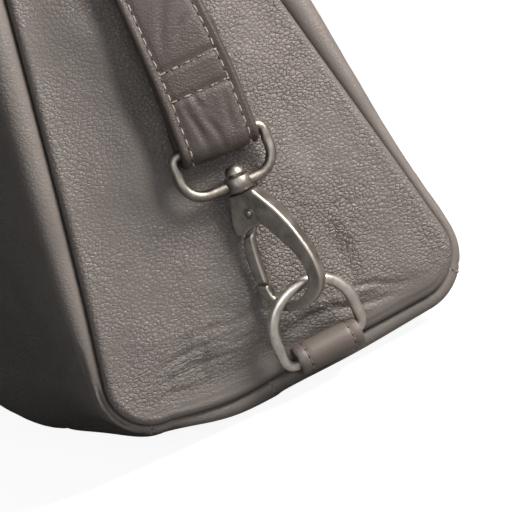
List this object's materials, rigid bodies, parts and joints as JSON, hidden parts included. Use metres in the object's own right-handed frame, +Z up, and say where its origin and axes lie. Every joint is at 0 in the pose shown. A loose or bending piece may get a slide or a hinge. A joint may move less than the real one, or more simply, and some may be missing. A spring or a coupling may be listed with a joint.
{
  "type": "backpack handbag",
  "caption": "Soft leather backpack handbag with tapered side gussets, a zipped top and a doubled leather strap clipped to rings low on both sides.",
  "frame": {"origin": "on the floor under the middle of the base", "axes": "+Z up to the strap's arch, +Y to the back of the bag (the front faces -Y), +X to the bag's side that the picture shows"},
  "size_m": [0.3346, 0.148, 0.4185],
  "materials": {
    "bag_leather": "soft pebbled grain, low sheen",
    "strap_leather": "smooth, low sheen",
    "antique_metal": "dark antique nickel, brushed",
    "zip_cloth": "woven tape"
  },
  "bodies": {
    "bag": {"front_panel": "bag_leather", "back_panel": "bag_leather", "base_panel": "bag_leather", "side_panel_right": "bag_leather", "side_panel_left": "bag_leather", "zip_facing_front": "bag_leather", "zip_facing_back": "bag_leather", "zip_tape": "zip_cloth", "zip_slider": "antique_metal", "zip_pull": "bag_leather", "ring_tab_right": "strap_leather", "ring_tab_left": "strap_leather", "d_ring_right": "antique_metal", "d_ring_left": "antique_metal", "snap_hook_right": "antique_metal", "snap_hook_left": "antique_metal", "swivel_ring_right": "antique_metal", "swivel_ring_left": "antique_metal", "shoulder_strap": "strap_leather", "strap_keeper_right": "strap_leather", "strap_keeper_left": "strap_leather"},
    "gate_right": {"snap_gate_right": "antique_metal"},
    "gate_left": {"snap_gate_left": "antique_metal"}
  },
  "joints": [
    {"name": "gate_right_hinge", "type": "hinge", "parent": "bag", "child": "gate_right", "pos_m": [0.15308, 0.0041, 0.06267], "axis": [0.706, -0.7019, 0.095], "range_deg": [0, 25], "stiffness_Nm_per_rad": 0.05, "springref_deg": -28.65},
    {"name": "gate_left_hinge", "type": "hinge", "parent": "bag", "child": "gate_left", "pos_m": [-0.15308, 0.0041, 0.06267], "axis": [0.706, 0.7019, -0.095], "range_deg": [0, 25], "stiffness_Nm_per_rad": 0.05, "springref_deg": -28.65}
  ]
}
